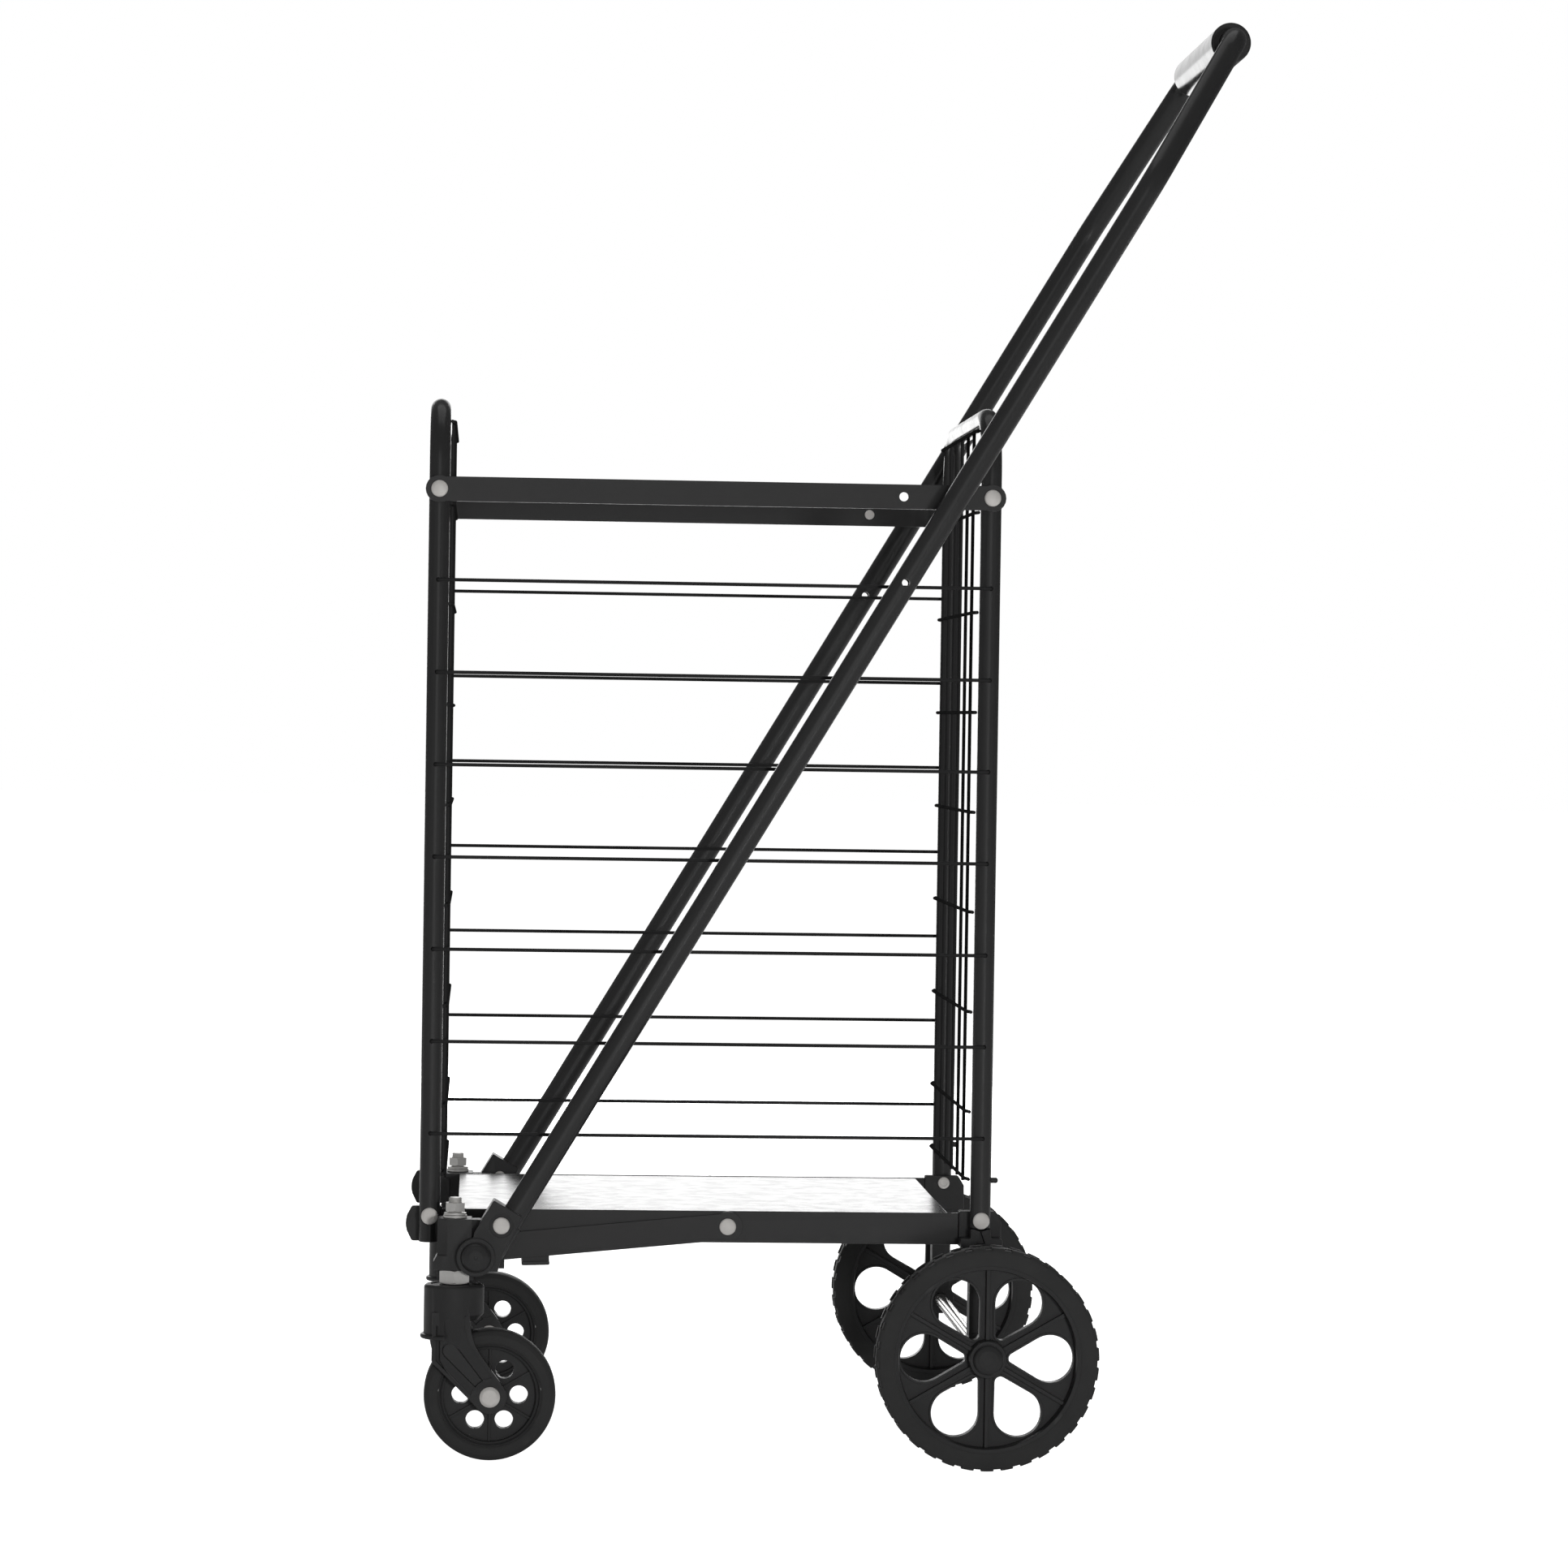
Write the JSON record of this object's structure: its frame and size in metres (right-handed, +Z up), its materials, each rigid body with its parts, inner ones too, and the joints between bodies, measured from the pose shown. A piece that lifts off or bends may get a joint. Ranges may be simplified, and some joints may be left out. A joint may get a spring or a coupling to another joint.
{
  "type": "folding luggage cart",
  "caption": "Folding wire-basket cart with a long slanted push handle, swivel front casters, large spoked rear wheels and a flat load floor.",
  "frame": {"origin": "on the ground plane, under the middle of the cart's whole length and width, with the basket open", "axes": "+Z up; +X towards the person who pushes, so the casters are at -X and the grip at +X; +Y towards the cart's right side"},
  "size_m": [0.6283, 0.4822, 1.0861],
  "materials": {
    "black_paint": "semi-gloss black powder coat on steel tube, strip and wire",
    "moulded_plastic": "fine-grained black moulded plastic",
    "tyre_rubber": "matt black soft rubber",
    "grip_foam": "smooth black grip sleeve with a soft sheen",
    "bright_steel": "bright zinc-plated steel"
  },
  "bodies": {
    "rear_frame": {"rear_frame_tube": "black_paint", "rear_grid": "black_paint", "rear_axle": "bright_steel", "rear_corner_left": "moulded_plastic", "rear_corner_right": "moulded_plastic", "rear_top_rivet_left": "bright_steel", "rear_top_rivet_right": "bright_steel", "rear_low_rivet_left": "bright_steel", "rear_low_rivet_right": "bright_steel"},
    "floor": {"floor_tray": "black_paint", "front_cap_left": "moulded_plastic", "front_cap_right": "moulded_plastic", "front_low_rivet_left": "bright_steel", "front_low_rivet_right": "bright_steel", "link_rivet_left": "bright_steel", "link_rivet_right": "bright_steel"},
    "front_frame": {"front_frame_tube": "black_paint", "front_grid": "black_paint", "front_top_rivet_left": "bright_steel", "front_top_rivet_right": "bright_steel"},
    "top_rails": {"top_rail_left": "black_paint", "top_rail_right": "black_paint"},
    "side_wires_1": {"side_wire_1_left": "black_paint", "side_wire_1_right": "black_paint"},
    "side_wires_2": {"side_wire_2_left": "black_paint", "side_wire_2_right": "black_paint"},
    "side_wires_3": {"side_wire_3_left": "black_paint", "side_wire_3_right": "black_paint"},
    "side_wires_4": {"side_wire_4_left": "black_paint", "side_wire_4_right": "black_paint"},
    "side_wires_5": {"side_wire_5_left": "black_paint", "side_wire_5_right": "black_paint"},
    "side_wires_6": {"side_wire_6_left": "black_paint", "side_wire_6_right": "black_paint"},
    "side_wires_7": {"side_wire_7_left": "black_paint", "side_wire_7_right": "black_paint"},
    "links": {"link_frame": "black_paint"},
    "handle": {"handle_tube": "black_paint", "handle_grip": "grip_foam", "front_corner_left": "moulded_plastic", "front_corner_right": "moulded_plastic", "link_pin_left": "moulded_plastic", "link_pin_right": "moulded_plastic", "caster_stem_left": "bright_steel", "caster_stem_right": "bright_steel"},
    "caster_left": {"caster_fork_left": "moulded_plastic", "caster_axle_left": "bright_steel"},
    "caster_wheel_left": {"caster_tyre_left": "tyre_rubber", "caster_wheel_left": "moulded_plastic"},
    "rear_wheel_left": {"rear_tyre_left": "tyre_rubber", "rear_wheel_left": "moulded_plastic", "rear_hub_cap_left": "moulded_plastic"},
    "caster_right": {"caster_fork_right": "moulded_plastic", "caster_axle_right": "bright_steel"},
    "caster_wheel_right": {"caster_tyre_right": "tyre_rubber", "caster_wheel_right": "moulded_plastic"},
    "rear_wheel_right": {"rear_tyre_right": "tyre_rubber", "rear_wheel_right": "moulded_plastic", "rear_hub_cap_right": "moulded_plastic"}
  },
  "joints": [
    {"name": "floor_fold", "type": "hinge", "parent": "rear_frame", "child": "floor", "pos_m": [0.1139, 0, 0.1775], "axis": [0, 1, 0], "range_deg": [0, 60]},
    {"name": "front_frame_hinge", "type": "hinge", "parent": "floor", "child": "front_frame", "pos_m": [-0.2981, 0, 0.1775], "axis": [0, 1, 0], "range_deg": [-60, 0]},
    {"name": "top_rail_hinge", "type": "hinge", "parent": "rear_frame", "child": "top_rails", "pos_m": [0.1139, 0, 0.718], "axis": [0, 1, 0], "range_deg": [0, 60]},
    {"name": "side_wire_hinge_1", "type": "hinge", "parent": "rear_frame", "child": "side_wires_1", "pos_m": [0.1139, 0, 0.239], "axis": [0, 1, 0], "range_deg": [0, 60]},
    {"name": "side_wire_hinge_2", "type": "hinge", "parent": "rear_frame", "child": "side_wires_2", "pos_m": [0.1139, 0, 0.3076], "axis": [0, 1, 0], "range_deg": [0, 60]},
    {"name": "side_wire_hinge_3", "type": "hinge", "parent": "rear_frame", "child": "side_wires_3", "pos_m": [0.1139, 0, 0.3762], "axis": [0, 1, 0], "range_deg": [0, 60]},
    {"name": "side_wire_hinge_4", "type": "hinge", "parent": "rear_frame", "child": "side_wires_4", "pos_m": [0.1139, 0, 0.4448], "axis": [0, 1, 0], "range_deg": [0, 60]},
    {"name": "side_wire_hinge_5", "type": "hinge", "parent": "rear_frame", "child": "side_wires_5", "pos_m": [0.1139, 0, 0.5134], "axis": [0, 1, 0], "range_deg": [0, 60]},
    {"name": "side_wire_hinge_6", "type": "hinge", "parent": "rear_frame", "child": "side_wires_6", "pos_m": [0.1139, 0, 0.582], "axis": [0, 1, 0], "range_deg": [0, 60]},
    {"name": "side_wire_hinge_7", "type": "hinge", "parent": "rear_frame", "child": "side_wires_7", "pos_m": [0.1139, 0, 0.6506], "axis": [0, 1, 0], "range_deg": [0, 60]},
    {"name": "link_hinge", "type": "hinge", "parent": "floor", "child": "links", "pos_m": [-0.0751, 0, 0.1697], "axis": [0, 1, 0], "range_deg": [-120, 0]},
    {"name": "handle_hinge", "type": "hinge", "parent": "links", "child": "handle", "pos_m": [-0.2632, 0, 0.1515], "axis": [0, 1, 0], "range_deg": [0, 42]},
    {"name": "rear_wheel_spin_left", "type": "hinge", "parent": "rear_frame", "child": "rear_wheel_left", "pos_m": [0.1134, -0.2215, 0.0825], "axis": [0, 1, 0], "continuous": true},
    {"name": "caster_swivel_left", "type": "hinge", "parent": "handle", "child": "caster_left", "pos_m": [-0.2789, -0.1862, 0.12], "axis": [0, 0, 1], "continuous": true},
    {"name": "caster_wheel_spin_left", "type": "hinge", "parent": "caster_left", "child": "caster_wheel_left", "pos_m": [-0.2516, -0.1862, 0.0487], "axis": [0, 1, 0], "continuous": true},
    {"name": "rear_wheel_spin_right", "type": "hinge", "parent": "rear_frame", "child": "rear_wheel_right", "pos_m": [0.1134, 0.2215, 0.0825], "axis": [0, 1, 0], "continuous": true},
    {"name": "caster_swivel_right", "type": "hinge", "parent": "handle", "child": "caster_right", "pos_m": [-0.2789, 0.1862, 0.12], "axis": [0, 0, 1], "continuous": true},
    {"name": "caster_wheel_spin_right", "type": "hinge", "parent": "caster_right", "child": "caster_wheel_right", "pos_m": [-0.2516, 0.1862, 0.0487], "axis": [0, 1, 0], "continuous": true}
  ],
  "couplings": [
    {"joint": "front_frame_hinge", "follows": "floor_fold", "ratio": -1},
    {"joint": "top_rail_hinge", "follows": "floor_fold", "ratio": 1},
    {"joint": "side_wire_hinge_1", "follows": "floor_fold", "ratio": 1},
    {"joint": "side_wire_hinge_2", "follows": "floor_fold", "ratio": 1},
    {"joint": "side_wire_hinge_3", "follows": "floor_fold", "ratio": 1},
    {"joint": "side_wire_hinge_4", "follows": "floor_fold", "ratio": 1},
    {"joint": "side_wire_hinge_5", "follows": "floor_fold", "ratio": 1},
    {"joint": "side_wire_hinge_6", "follows": "floor_fold", "ratio": 1},
    {"joint": "side_wire_hinge_7", "follows": "floor_fold", "ratio": 1},
    {"joint": "link_hinge", "follows": "floor_fold", "ratio": -2},
    {"joint": "handle_hinge", "follows": "floor_fold", "ratio": 0.7}
  ]
}
